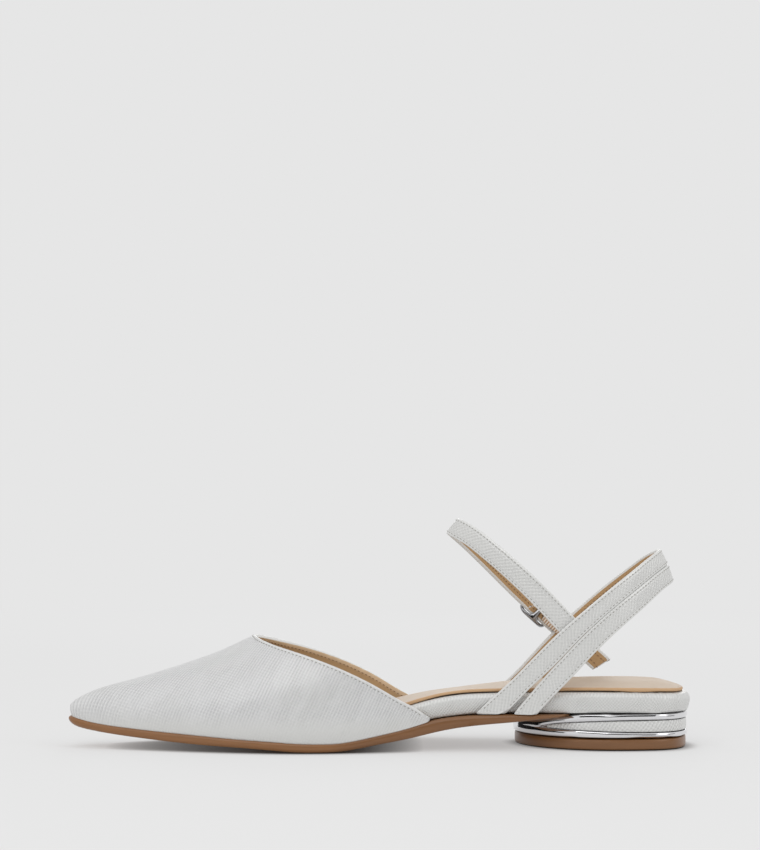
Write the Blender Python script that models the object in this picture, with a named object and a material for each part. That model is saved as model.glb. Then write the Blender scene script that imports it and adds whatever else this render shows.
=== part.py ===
"""Pointed toe flat with an open waist, a pair of sling straps and a buckled ankle strap.

A right shoe. The toe points to -X, the inner side of the foot is at -Y, the floor is z = 0.
Sizes below are millimetres; meshes are built in metres.
"""
import math

import bmesh
import bpy
import numpy as np
from mathutils import Vector

MM = 0.001
GAP = 0.3

# Last and sole
LENGTH = 262.0
TOE_X = -LENGTH / 2
HEEL_X = LENGTH / 2
SOLE_EDGE_ROUND = 1.5
SOLE_SKIVE_X = 80.0
SOLE_STATIONS = 40
END_REACH = 30.0
EDGE_SWEEP = np.linspace(0.0, math.pi, 25)

# Upper
UPPER_WALL = 1.6
UPPER_SET_IN = 0.6
THROAT_X = -53.2
WING_TIP_X = 20.6
TOE_WALL = 4.2
TUCK_ANGLE = math.radians(14.0)
TUCK_SHARE = 0.10
RIDGE_POWER = 1.08
VAMP_STATIONS = 16
WING_STATIONS = 17
UPPER_ROWS = 10
NOSE_HALF_WIDTH = 0.9
NOSE_TUCK = 0.9
NOSE_TUCK_REACH = 6.0
NOSE_FRONT_ANGLE = math.radians(30.0)
WING_CROWDING = 1.35

# Wrapped footbed and its padded insole
WRAP_SET_IN = UPPER_SET_IN + UPPER_WALL + 0.45
WRAP_TOE_BACK = 9.0
WRAP_FLUSH_X = (80.0, 106.0)
WRAP_SHOULDER = 3.0
WRAP_SIDE = [(1.5, 0.0), (0.9, 0.10), (0.3, 0.40)]
INSOLE_SET_IN = 3.0
INSOLE_EDGE = 1.3
INSOLE_ROLL = [(0.3, 0.0), (0.0, 0.5)]
INSOLE_SLOPE = 20.0

# Heel block
BREAST_X = 55.5
BREAST_ROUND = {"medial": 40.0, "lateral": 14.0}
BREAST_LEAN = {"medial": 13.0, "lateral": -13.0}
HEEL_SET_IN = 1.2
HEEL_BOTTOM_SHARE = 0.97
HEEL_DRAFT = 10.0
LIFT_TOP = 4.9
LIFT_SET_IN = 2.0
LIFT_SHARE = 1.0
LIFT_PROFILE = [(0.5, 0.0), (0.12, 0.1), (0.0, 0.22), (0.0, 0.85), (0.3, 1.0)]
RIM_ROUND = 1.0
RIM_SHARE = [(1.0, 0.0), (0.3, 0.16), (0.0, 0.5)]
RIM_INSIDE = [(0.12, 0.8), (0.45, 0.96)]
GROOVE_DEPTH = 1.6
GROOVE_START_X = 65.9
GROOVE_FADE = 3.0
INLAY_START_X = 68.0
INLAY_SINK = 0.4
INLAY_ROUND = 0.35
HEEL_GAUGE_X = 100.0
HEEL_STATIONS = 26

# Straps
STRAP_THICK = 1.7
SLING_LATERAL_SETBACK = 5.3
SLINGS = {
    "sling_strap_front": {"side": -1, "lean": math.radians(28.0), "widths": (8.2, 7.0), "taper_z": (36, 56)},
    "sling_strap_rear": {"side": 1, "lean": math.radians(18.0), "widths": (8.2, 7.4), "taper_z": (62, 76)},
}
SLING_PARTING = 1.0
SLING_PARTING_Z = (20.0, 36.0)
SLING_FOOT_FLARE = 3.0
SLING_FOOT_CLEAR = 0.25
SLING_STATIONS = 40
ANKLE_WIDTH = 8.6
ANKLE_FRONT_TAPER = 1.3
ANKLE_FRONT_LEAN = math.radians(40.0)
ANKLE_STATIONS = 46
ANKLE_TIP_SLANT = 2.6
STRAP_CHAMFER = 0.45
BAND_FRONT_EDGE = slice(4, 8)

# Buckle on the outer side, its pin and the elastic that holds it
BUCKLE_X = 69.3
BUCKLE_HALF_LENGTH = 6.9
BUCKLE_HALF_WIDTH = 5.8
BUCKLE_SQUARENESS = 0.45
BUCKLE_BAR = 0.85
CENTRE_BAR = 0.8
ROD_SIDES = 8
BUCKLE_BOW = STRAP_THICK / 2 + GAP + BUCKLE_BAR
PIN_RADIUS = 0.5
PIN_HOLE = (2.9, 1.9)
PIN_HOLE_AT = -2.4
ELASTIC_WIDTH = 7.6
ELASTIC_THICK = 1.2
ELASTIC_START = 2.8
ELASTIC_LENGTH = 13.0
ELASTIC_INSIDE = 5.8
ELASTIC_STATIONS = 9


def table(columns, rows):
    """Return the named columns of a short table that is written a row at a time."""
    return dict(zip(columns.split(), np.array(rows, float).T))


# One row for each section of the last, from toe to heel. The half widths are of the sole's edge about
# the centre line; the heights are of the feather edge, the sole's underside, the wrapped footbed's
# top and the insole's crown. The drop is how much lower the footbed lies at the outer side of the
# waist than at the arch.
LAST = table("x medial lateral centre feather under wrap crown drop", [
    (TOE_X, 0.0, 0.0, -6.0, 13.1, 10.4, 14.8, 16.4, 0.0),
    (-127.0, 5.6, 5.3, -5.6, 12.3, 8.4, 14.3, 15.9, 0.0),
    (-118.0, 10.6, 10.2, -4.8, 10.5, 6.7, 12.6, 14.3, 0.0),
    (-97.0, 19.6, 18.9, -3.0, 8.4, 4.3, 10.6, 12.4, 0.0),
    (-76.0, 27.7, 26.6, -1.5, 6.9, 2.6, 9.2, 11.0, 0.0),
    (-58.0, 33.3, 32.2, -0.5, 5.6, 1.7, 8.2, 10.1, 0.0),
    (-45.0, 36.0, 35.1, 0.0, 4.9, 0.9, 7.6, 9.5, 0.0),
    (-33.0, 36.8, 36.5, 0.0, 4.1, 0.0, 7.4, 9.3, 0.0),
    (-20.0, 35.9, 36.8, 0.0, 3.9, 0.0, 8.4, 10.3, 0.0),
    (-16.0, 35.2, 36.7, 0.0, 4.2, 0.2, 9.0, 10.9, 0.0),
    (0.0, 32.2, 35.0, 0.0, 7.2, 3.0, 14.6, 16.3, 0.9),
    (12.0, 29.9, 32.9, 0.0, 9.9, 4.9, 18.9, 21.0, 2.0),
    (21.0, 28.4, 31.1, 0.0, 12.7, 7.1, 21.4, 23.5, 2.7),
    (30.0, 27.4, 29.7, 0.0, 14.0, 8.9, 23.3, 25.0, 3.2),
    (42.0, 26.9, 28.4, 0.0, 14.7, 10.4, 23.8, 26.0, 2.1),
    (54.0, 27.0, 27.9, 0.0, 15.0, 11.4, 23.9, 26.9, 0.9),
    (62.0, 27.2, 27.9, 0.0, 14.9, 12.3, 23.9, 27.4, 0.4),
    (75.0, 27.5, 27.8, 0.0, 14.9, 13.8, 24.0, 28.1, 0.1),
    (84.0, 27.7, 27.8, 0.0, 15.0, 15.1, 24.1, 28.4, 0.0),
    (100.0, 27.5, 27.6, 0.0, 15.0, 15.2, 24.1, 28.6, 0.0),
    (115.0, 25.5, 25.6, 0.0, 15.0, 15.2, 23.8, 28.5, 0.0),
    (124.0, 20.4, 20.4, 0.0, 15.0, 15.2, 23.3, 28.2, 0.0),
    (129.0, 12.2, 12.2, 0.0, 15.0, 15.2, 23.0, 27.8, 0.0),
    (HEEL_X, 0.0, 0.0, 0.0, 15.0, 15.2, 22.8, 27.6, 0.0),
])

# The ridge that the upper's sections rise to. Behind the throat it is the instep of the last, which
# only sets how the side walls lean.
RIDGE = table("x height", [
    (TOE_X, 16.2), (-128.8, 18.9), (-126.0, 20.7), (-118.3, 24.1), (-101.4, 28.7), (-84.5, 33.8),
    (-67.6, 39.7), (-53.2, 46.6), (-40.0, 53.0), (-20.0, 62.0), (0.0, 71.0), (22.0, 80.0),
])

# The top edge of the upper's two wings, from the throat to the wing tips.
TOPLINE = table("x medial lateral", [
    (THROAT_X, 46.6, 46.6), (-50.0, 45.3, 45.4), (-42.0, 42.8, 42.8), (-33.5, 40.5, 40.3),
    (-16.5, 34.4, 34.0), (0.0, 26.3, 25.8), (8.0, 21.3, 20.6), (14.0, 18.5, 17.7),
    (18.0, 16.2, 15.6), (WING_TIP_X, 13.6, 13.6),
])

# The heel's inlaid band: its lower and upper edge from the front tip to the back.
INLAY = table("x low high", [
    (BREAST_X, 8.6, 9.0), (66.4, 8.5, 9.2), (69.5, 8.2, 10.1), (76.0, 7.9, 11.3), (86.0, 7.6, 12.1),
    (100.0, 7.1, 12.7), (116.0, 6.9, 12.8), (HEEL_X, 6.9, 12.7),
])

# The line between the two sling straps, from each foot to the middle of the back.
SLING = table("x inner outer z outer_z", [
    (53.9, 26.1, 27.7, 16.2, 16.2), (65.9, 27.3, 28.2, 29.0, 29.6), (74.1, 28.2, 28.4, 37.5, 38.4),
    (82.3, 28.3, 28.4, 46.2, 47.3), (90.6, 27.0, 27.0, 53.9, 55.3), (99.2, 24.0, 24.0, 60.9, 62.4),
    (108.0, 18.6, 18.6, 67.4, 68.8), (116.2, 10.2, 10.2, 73.1, 73.9), (120.8, 3.6, 3.6, 75.7, 75.8),
    (121.5, 0.0, 0.0, 76.0, 76.0),
])

# The middle of the ankle strap, from the end sewn inside the inner sling straps, round the front of
# the ankle and through the buckle to its loose tip.
ANKLE = table("x y z", [
    (83.0, -26.1, 46.6), (77.0, -26.2, 52.1), (71.4, -25.8, 58.2), (59.3, -23.0, 70.3),
    (47.2, -17.0, 81.0), (36.4, -8.6, 89.3), (31.0, -2.6, 92.0), (31.0, 2.6, 91.9), (36.2, 8.6, 87.5),
    (46.4, 17.4, 77.8), (59.6, 25.2, 64.8), (69.3, 28.9, 55.8), (80.2, 30.8, 46.0),
    (92.3, 31.2, 35.1), (97.4, 31.2, 30.5),
])

# The pin of the buckle: along the strap from the centre bar, and outwards from the strap's middle.
PIN = table("along out", [
    (1.75, -1.7), (1.35, -3.25), (0.0, -3.75), (-1.35, -3.1), (-1.75, -1.8), (-2.3, 0.0), (-3.5, 2.0),
    (-5.4, 3.35), (-7.0, 3.7), (-8.1, 3.55),
])

COLOURS = {
    "silver": ("D7D5D1", 0.42, 0.25), "tan": ("C79A6B", 0.60, 0.0), "brown": ("7A4A2C", 0.35, 0.0),
    "chrome": ("D9D9DB", 0.08, 1.0), "elastic": ("C9C6C1", 0.80, 0.0),
}


def smooth(xs, ys, x):
    """Value at x of the cubic through the points that never overshoots between two of them."""
    step = np.diff(xs)
    slope = np.diff(ys) / step
    rising = slope[:-1] * slope[1:] > 0
    total = np.where(rising, slope[:-1] + slope[1:], 1.0)
    inner = np.where(rising, 2 * slope[:-1] * slope[1:] / total, 0.0)
    tangent = np.concatenate([slope[:1], inner, slope[-1:]])
    x = np.clip(x, xs[0], xs[-1])
    i = np.clip(np.searchsorted(xs, x) - 1, 0, len(step) - 1)
    t = (x - xs[i]) / step[i]
    value = (2 * t**3 - 3 * t**2 + 1) * ys[i] + (3 * t**2 - 2 * t**3) * ys[i + 1]
    return value + step[i] * ((t**3 - 2 * t**2 + t) * tangent[i] + (t**3 - t**2) * tangent[i + 1])


def last(column, x):
    """Height or offset of the last at x."""
    return smooth(LAST["x"], LAST[column], x)


def half_width(x, side, inset=0.0):
    """Half width at x of the sole's outline, moved in square to its edge by inset.

    The squares of the tabled widths are interpolated, so that toe and heel close round.
    """
    reach = np.asarray(x, float)[..., None] + np.multiply.outer(inset, np.cos(EDGE_SWEEP))
    wide = np.sqrt(np.maximum(smooth(LAST["x"], LAST[side]**2, reach), 0.0))
    wide = np.where((reach < TOE_X) | (reach > HEEL_X), 0.0, wide)
    return (wide - np.multiply.outer(inset, np.sin(EDGE_SWEEP))).min(axis=-1)


def outline_end(inset, outer, inner, width=0.0):
    """Place between two x values where the moved outline is as wide as given on both sides."""
    for _ in range(40):
        middle = (outer + inner) / 2
        narrow = min(half_width(middle, "medial", inset), half_width(middle, "lateral", inset))
        outer, inner = (middle, inner) if narrow < width else (outer, middle)
    return inner


def toe_end(inset, width=0.0):
    """Front end of the moved outline, or the place near it that is as wide as given."""
    return outline_end(inset, TOE_X, TOE_X + END_REACH, width)


def heel_end(inset):
    """Rear end of the moved outline."""
    return outline_end(inset, HEEL_X, HEEL_X - END_REACH)


def ease(share):
    """Smooth step from 0 to 1."""
    share = np.clip(share, 0.0, 1.0)
    return share * share * (3 - 2 * share)


def material(kind):
    """Principled material of one of the shoe's finishes."""
    found = bpy.data.materials.get(kind)
    if found:
        return found
    code, roughness, metallic = COLOURS[kind]
    made = bpy.data.materials.new(kind)
    made.use_nodes = True
    shader = made.node_tree.nodes["Principled BSDF"]
    srgb = [int(code[i:i + 2], 16) / 255 for i in (0, 2, 4)]
    linear = [c / 12.92 if c <= 0.04045 else ((c + 0.055) / 1.055)**2.4 for c in srgb]
    shader.inputs["Base Color"].default_value = (*linear, 1.0)
    shader.inputs["Roughness"].default_value = roughness
    shader.inputs["Metallic"].default_value = metallic
    return made


def add_solid(name, kind, points, faces):
    """Make a closed object from points in millimetres and faces of point numbers."""
    work = bmesh.new()
    verts = [work.verts.new(Vector(p) * MM) for p in points]
    for face in faces:
        corners = list(dict.fromkeys(verts[i] for i in face))
        if len(corners) > 2:
            work.faces.new(corners)
    bmesh.ops.remove_doubles(work, verts=work.verts, dist=1e-6)
    bmesh.ops.dissolve_degenerate(work, edges=work.edges, dist=1e-7)
    bmesh.ops.recalc_face_normals(work, faces=work.faces)
    if work.calc_volume(signed=True) < 0:
        bmesh.ops.reverse_faces(work, faces=work.faces)
    mesh = bpy.data.meshes.new(name)
    work.to_mesh(mesh)
    work.free()
    mesh.shade_smooth()
    mesh.set_sharp_from_angle(angle=math.radians(40.0))
    made = bpy.data.objects.new(name, mesh)
    made.data.materials.append(material(kind))
    bpy.context.scene.collection.objects.link(made)
    return made


def ring_faces(rings, count, wrap=False):
    """Faces between neighbouring rings of count points; wrap joins the last ring to the first."""
    faces = []
    for r in range(rings if wrap else rings - 1):
        this, after = r * count, (r + 1) % rings * count
        faces += [[this + i, this + (i + 1) % count, after + (i + 1) % count, after + i] for i in range(count)]
    return faces


def add_loft(name, kind, rings):
    """Make a solid through closed rings of the same number of points, with flat ends."""
    count = len(rings[0])
    start = list(range(count))
    end = [(len(rings) - 1) * count + i for i in start]
    return add_solid(name, kind, np.concatenate(rings), ring_faces(len(rings), count) + [start, end])


def add_plate(name, kind, levels):
    """Make a sole-like solid from level rings, bottom to top, each closed across from side to side."""
    count = len(levels[0])
    faces = ring_faces(len(levels), count)
    for first in (0, (len(levels) - 1) * count):
        faces += [[first + i, first + i + 1, first + count - 2 - i, first + count - 1 - i]
                  for i in range(count // 2 - 1)]
    return add_solid(name, kind, np.concatenate(levels), faces)


def level_ring(xs, medial, lateral, height):
    """Closed ring of points: along the inner side to the heel and back along the outer side."""
    centre = last("centre", xs)
    inner = np.column_stack([xs, centre - medial, height(xs)])
    outer = np.column_stack([xs, centre + lateral, height(xs)])
    return np.concatenate([inner, outer[::-1]])


def cosine_stations(start, end, count):
    """Places along the shoe that crowd towards both ends."""
    return start + (end - start) * (1 - np.cos(np.linspace(0.0, math.pi, count + 1))) / 2


def toe_stations(start, end, count):
    """Places along the shoe that crowd towards the toe."""
    return start + (end - start) * (1 - np.cos(np.linspace(0.0, math.pi / 2, count + 1)))


def sole_ring(inset, height):
    """Level ring of the outsole's outline, moved in by inset and cut straight where it is skived away."""
    xs = toe_stations(toe_end(inset), SOLE_SKIVE_X, SOLE_STATIONS)
    widths = [np.maximum(half_width(xs, side, inset), 0.0) for side in ("medial", "lateral")]
    return level_ring(xs, *widths, height)


def wrap_ring(inset, height, dropped=1.0):
    """Level ring of the wrapped footbed, inside upper and sling feet, with a share of the outer drop."""
    start = max(toe_end(WRAP_SET_IN + inset), TOE_X + WRAP_TOE_BACK + inset)
    xs = cosine_stations(start, heel_end(inset), SOLE_STATIONS)
    moved = inset + WRAP_SET_IN * (1 - ease((xs - WRAP_FLUSH_X[0]) / (WRAP_FLUSH_X[1] - WRAP_FLUSH_X[0])))
    widths = [np.maximum([half_width(x, side, m) for x, m in zip(xs, moved)], 0.0)
              for side in ("medial", "lateral")]
    ring = level_ring(xs, *widths, height)
    medial, lateral = last("medial", ring[:, 0]), last("lateral", ring[:, 0])
    across = (ring[:, 1] + medial) / np.maximum(medial + lateral, 1.0)
    ring[:, 2] -= dropped * last("drop", ring[:, 0]) * np.clip(across, 0.0, 1.0)
    return ring


def heel_ring(inset, share, height, start=BREAST_X):
    """Level ring of the heel: round breast with its tip on the outer side, sides drawn in to a share."""
    xs = cosine_stations(start + inset, heel_end(inset), HEEL_STATIONS)
    widths = []
    for side, length in BREAST_ROUND.items():
        ahead = np.clip((BREAST_X + inset + length - xs) / length, 0.0, 1.0)
        from_tip = np.maximum(half_width(xs, side, inset) * share, 0.0) + BREAST_LEAN[side]
        widths.append(from_tip * np.sqrt(1 - ahead**2) - BREAST_LEAN[side])
    return level_ring(xs, *widths, height)


def add_outsole():
    """Thin sole with a rounded edge, flat under the ball and skived away over the heel."""
    levels = []
    for angle in np.radians([-90.0, -60.0, -25.0, 10.0, 45.0, 75.0]):
        share = (1 + math.sin(angle)) / 2

        def height(x, share=share):
            return last("under", x) * (1 - share) + last("feather", x) * share

        levels.append(sole_ring(SOLE_EDGE_ROUND * (1 - math.cos(angle)), height))
    levels.append(sole_ring(SOLE_EDGE_ROUND, lambda x: last("feather", x)))
    return add_plate("outsole", "brown", levels)


def add_midsole():
    """Footbed with its covering turned round the edge: upright side, rounded shoulder, flat top."""
    def base(x):
        return last("feather", x) + GAP

    def level(share):
        return lambda x: base(x) + (last("wrap", x) - base(x)) * share

    def shoulder(angle):
        return lambda x: last("wrap", x) - np.minimum(WRAP_SHOULDER, 0.6 * (last("wrap", x) - base(x))) * (
            1 - math.sin(angle))

    levels = [wrap_ring(inset, level(share), share) for inset, share in WRAP_SIDE]
    for angle in np.radians([0.0, 30.0, 60.0, 90.0]):
        levels.append(wrap_ring(WRAP_SHOULDER * (1 - math.cos(angle)), shoulder(angle)))
    return add_plate("midsole", "silver", levels)


def add_insole():
    """Padded insole with a rolled edge and a soft crown."""
    def base(x):
        return last("wrap", x) + GAP

    def crown(depth):
        rise = 1 - (1 - min(depth / INSOLE_SLOPE, 1.0))**2
        return lambda x: base(x) + INSOLE_EDGE + (last("crown", x) - base(x) - INSOLE_EDGE) * rise

    def roll(share):
        return lambda x: base(x) + INSOLE_EDGE * share

    levels = [wrap_ring(INSOLE_SET_IN + inset, roll(share)) for inset, share in INSOLE_ROLL]
    for depth in (0.35, 1.5, 3.5, 6.5, 11.0):
        levels.append(wrap_ring(INSOLE_SET_IN + depth, crown(depth)))
    return add_plate("insole", "tan", levels)


def section_angle(x, z):
    """Angle of the upper's section at x where it has the height z."""
    foot = last("feather", x) + GAP
    ridge = smooth(RIDGE["x"], RIDGE["height"], x)
    centre = foot + TUCK_SHARE * (ridge - foot)
    above = np.arcsin(np.clip((z - centre) / (ridge - centre), 0.0, 1.0))
    below = np.arcsin(np.clip((z - centre) / (centre - foot), -1.0, 0.0) * math.sin(TUCK_ANGLE))
    return np.where(z > centre, above, below)


def upper_point(x, side, angle):
    """Point of the upper's outside: angle -TUCK_ANGLE at the sole, 0 at the widest, 90 degrees on the ridge."""
    foot = last("feather", x) + GAP
    ridge = smooth(RIDGE["x"], RIDGE["height"], x)
    centre = foot + TUCK_SHARE * (ridge - foot)
    wide = np.maximum(half_width(x, side, UPPER_SET_IN), 0.0) / math.cos(TUCK_ANGLE)
    out = wide * np.maximum(np.cos(angle), 0.0)**(RIDGE_POWER if angle > 0 else 1.0)
    rise = (ridge - centre) if angle > 0 else (centre - foot) / math.sin(TUCK_ANGLE)
    sign = -1.0 if side == "medial" else 1.0
    under = max(NOSE_FRONT_ANGLE - angle, 0.0) / (NOSE_FRONT_ANGLE + TUCK_ANGLE)
    near_toe = max(1 - (x - TOE_X) / NOSE_TUCK_REACH, 0.0)
    tucked = x + NOSE_TUCK * (under * near_toe)**2
    return np.array([tucked, last("centre", x) + sign * out, centre + rise * math.sin(angle)])


def upper_normal(x, side, angle):
    """Outward direction of the upper's outside."""
    step_x, step_a = 0.2, 0.01
    along = upper_point(x + step_x, side, angle) - upper_point(x - step_x, side, angle)
    middle = min(angle, math.pi / 2 - step_a)
    up = upper_point(x, side, middle + step_a) - upper_point(x, side, middle - step_a)
    normal = np.cross(along, up) if side == "medial" else np.cross(up, along)
    if angle > math.pi / 2 - step_a:
        normal[1] = 0.0
    return normal / np.linalg.norm(normal)


def upper_grid(side, xs, set_in):
    """Rows of points from the sole to the ridge or the top edge, on the wall's outside or set in from it."""
    rows = []
    for x in xs:
        top = math.pi / 2
        if x > THROAT_X:
            top = float(section_angle(x, smooth(TOPLINE["x"], TOPLINE[side], x)))
        angles = np.linspace(-TUCK_ANGLE, top, UPPER_ROWS + 1)
        row = []
        for place, angle in enumerate(angles):
            point = upper_point(x, side, angle)
            if set_in:
                normal = upper_normal(x, side, angle)
                if place == 0:
                    normal = np.array([normal[0], normal[1], 0.0]) / np.linalg.norm(normal[:2])
                point = point - set_in * normal
            row.append(point)
        rows.append(row)
    return rows


def add_upper():
    """Hollow pointed vamp with a wing on each side, open at the throat and underneath."""
    nose = toe_end(UPPER_SET_IN, NOSE_HALF_WIDTH)
    wings = THROAT_X + (WING_TIP_X - THROAT_X) * np.linspace(0.0, 1.0, WING_STATIONS + 1)[1:]**WING_CROWDING
    outside = np.concatenate([toe_stations(nose, THROAT_X, VAMP_STATIONS), wings])
    inside = np.concatenate([toe_stations(nose + TOE_WALL, THROAT_X, VAMP_STATIONS), wings])
    points = []
    number = {}
    for skin, xs, set_in in (("out", outside, 0.0), ("in", inside, UPPER_WALL)):
        for side in ("medial", "lateral"):
            for i, row in enumerate(upper_grid(side, xs, set_in)):
                for j, point in enumerate(row):
                    number[skin, side, i, j] = len(points)
                    points.append(point)
    ends = VAMP_STATIONS + WING_STATIONS
    faces = []
    for side in ("medial", "lateral"):
        for i in range(ends):
            for skin in ("out", "in"):
                faces += [[number[skin, side, i, j], number[skin, side, i + 1, j],
                           number[skin, side, i + 1, j + 1], number[skin, side, i, j + 1]]
                          for j in range(UPPER_ROWS)]
            edges = (0, UPPER_ROWS) if i >= VAMP_STATIONS else (0,)
            faces += [[number["out", side, i, j], number["out", side, i + 1, j],
                       number["in", side, i + 1, j], number["in", side, i, j]] for j in edges]
        faces += [[number["out", side, ends, j], number["out", side, ends, j + 1],
                   number["in", side, ends, j + 1], number["in", side, ends, j]] for j in range(UPPER_ROWS)]
    for skin in ("out", "in"):
        faces += [[number[skin, "medial", 0, j], number[skin, "medial", 0, j + 1],
                   number[skin, "lateral", 0, j + 1], number[skin, "lateral", 0, j]] for j in range(UPPER_ROWS)]
    faces.append([number["out", "medial", 0, 0], number["out", "lateral", 0, 0],
                  number["in", "lateral", 0, 0], number["in", "medial", 0, 0]])
    weld_ridge(points, number, faces)
    return add_solid("upper", "silver", points, faces)


def weld_ridge(points, number, faces):
    """Give the two sides one row of points along the ridge."""
    same = {}
    for (skin, side, i, j), place in number.items():
        if side == "lateral" and j == UPPER_ROWS and i <= VAMP_STATIONS:
            same[place] = number[skin, "medial", i, j]
            points[same[place]][1] = last("centre", points[same[place]][0])
    for face in faces:
        face[:] = [same.get(place, place) for place in face]


def add_heel_top_lift():
    """Walking layer under the heel, flat on the floor, with a straight side and broken edges."""
    levels = []
    for inset, share in LIFT_PROFILE:
        levels.append(heel_ring(LIFT_SET_IN + inset, LIFT_SHARE,
                                lambda x, share=share: np.full_like(x, LIFT_TOP * share)))
    return add_plate("heel_top_lift", "brown", levels)


def heel_share(z):
    """How far the heel's sides are drawn in at a height."""
    return HEEL_BOTTOM_SHARE + (1 - HEEL_BOTTOM_SHARE) * ease((z - LIFT_TOP) / HEEL_DRAFT)


def heel_levels():
    """Depth and height of each level of the plated block: lower rim, groove, upper rim."""
    def low(x):
        return smooth(INLAY["x"], INLAY["low"], x)

    def high(x):
        return smooth(INLAY["x"], INLAY["high"], x)

    def top(x):
        return last("under", x) - GAP

    def foot(x):
        return np.full_like(x, LIFT_TOP + GAP)

    def part_way(first, second, share):
        return lambda x: first(x) + (second(x) - first(x)) * share

    def grooved(depth):
        return lambda x: depth * ease((x - GROOVE_START_X) / GROOVE_FADE)

    def even(depth):
        return lambda x: np.full_like(x, depth)

    rim = [(even(RIM_ROUND * depth), share) for depth, share in RIM_SHARE]
    rim += [(grooved(RIM_ROUND * depth), share) for depth, share in RIM_INSIDE]
    levels = [(depth, part_way(foot, low, share)) for depth, share in rim]
    levels += [(grooved(GROOVE_DEPTH), low), (grooved(GROOVE_DEPTH), high)]
    levels += [(depth, part_way(high, top, 1 - share)) for depth, share in reversed(rim)]
    return levels


def heel_rail(depth, height, start=BREAST_X):
    """Level ring of the heel block, moved in by a depth that may vary along it."""
    mean = float(height(np.array([HEEL_GAUGE_X]))[0])
    rail = heel_ring(HEEL_SET_IN, heel_share(mean), height, start)
    plan = rail[:, :2]
    along = np.gradient(plan, axis=0)
    if start == BREAST_X:
        along = np.roll(plan, -1, axis=0) - np.roll(plan, 1, axis=0)
    inward = np.column_stack([-along[:, 1], along[:, 0]])
    inward /= np.maximum(np.linalg.norm(inward, axis=1), 1e-9)[:, None]
    inward[HEEL_STATIONS:HEEL_STATIONS + 2] = (-1.0, 0.0)
    if start == BREAST_X:
        inward[[0, -1]] = (1.0, 0.0)
    rail[:, :2] = plan + inward * np.reshape(depth(rail[:, 0]), (-1, 1))
    return rail


def add_heel_shell():
    """Plated heel block with two half-round rims that meet in a loop at the front."""
    levels = [heel_rail(depth, height) for depth, height in heel_levels()]
    return add_plate("heel_shell", "chrome", levels)


def add_heel_inlay():
    """Covered band that lies in the groove between the two rims."""
    def edge(shift, share):
        low, high = INLAY["low"] + shift, INLAY["high"] - shift
        return lambda x: smooth(INLAY["x"], low + (high - low) * share, x)

    section = [(GROOVE_DEPTH - GAP, 0.0), (INLAY_SINK + INLAY_ROUND, 0.0), (INLAY_SINK, 0.5),
               (INLAY_SINK + INLAY_ROUND, 1.0), (GROOVE_DEPTH - GAP, 1.0)]
    rails = []
    for depth, share in section:
        rail = heel_rail(lambda x, depth=depth: np.full_like(x, depth), edge(GAP, share), INLAY_START_X)
        rails.append(np.delete(rail, HEEL_STATIONS, axis=0))
    return add_loft("heel_inlay", "silver", list(np.stack(rails, axis=1)))


def curve_through(rows, count):
    """Points evenly spaced along a smooth curve through the rows, and its directions."""
    rows = np.asarray(rows, float)
    chord = np.concatenate([[0.0], np.cumsum(np.linalg.norm(np.diff(rows, axis=0), axis=1))])
    slope = np.gradient(rows, chord, axis=0)
    fine = np.linspace(0.0, chord[-1], 40 * count)
    i = np.clip(np.searchsorted(chord, fine) - 1, 0, len(rows) - 2)
    step = np.diff(chord)[i][:, None]
    t = ((fine - chord[i])[:, None]) / step
    dense = ((2 * t**3 - 3 * t**2 + 1) * rows[i] + (3 * t**2 - 2 * t**3) * rows[i + 1]
             + step * ((t**3 - 2 * t**2 + t) * slope[i] + (t**3 - t**2) * slope[i + 1]))
    length = np.concatenate([[0.0], np.cumsum(np.linalg.norm(np.diff(dense, axis=0), axis=1))])
    even = np.linspace(0.0, length[-1], count + 1)
    points = np.column_stack([np.interp(even, length, dense[:, k]) for k in range(3)])
    along = np.gradient(points, axis=0)
    return points, along / np.linalg.norm(along, axis=1)[:, None]


def strap_frame(along, lean_front, lean_back):
    """Outward and across directions of a band that goes round the ankle, leaning where it turns."""
    out = np.column_stack([along[:, 1], -along[:, 0], np.zeros(len(along))])
    out /= np.maximum(np.linalg.norm(out, axis=1), 1e-9)[:, None]
    turn = out[:, 0]
    lean = np.where(turn > 0, lean_back, lean_front) * turn**2
    out = out * np.cos(lean)[:, None]
    out[:, 2] = np.sin(lean)
    out -= along * np.sum(out * along, axis=1)[:, None]
    out /= np.linalg.norm(out, axis=1)[:, None]
    return out, np.cross(along, out)


def band_rings(points, out, across, width, thick):
    """Chamfered rectangular sections of a band."""
    half_w, half_t, cut = np.full(len(points), width) / 2, thick / 2, STRAP_CHAMFER
    shape = [(half_w - cut, half_t), (half_w, half_t - cut), (half_w, cut - half_t), (half_w - cut, -half_t),
             (cut - half_w, -half_t), (-half_w, cut - half_t), (-half_w, half_t - cut), (cut - half_w, half_t)]
    return np.stack([points + across * w[:, None] + out * t for w, t in shape], axis=1)


def sling_line():
    """Line between the sling straps, from the inner foot over the back to the outer foot."""
    x = SLING["x"]
    setback = SLING_LATERAL_SETBACK * ease(SLING["outer"] / SLING["outer"].max())
    inner = np.column_stack([x, -SLING["inner"], SLING["z"]])
    outer = np.column_stack([x + setback, SLING["outer"], SLING["outer_z"]])
    return np.concatenate([inner, outer[-2::-1]])


def between(height, levels, values):
    """Value that eases from the first to the second as the height goes from one level to the other."""
    return values[0] + (values[1] - values[0]) * ease((height - levels[0]) / (levels[1] - levels[0]))


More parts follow.
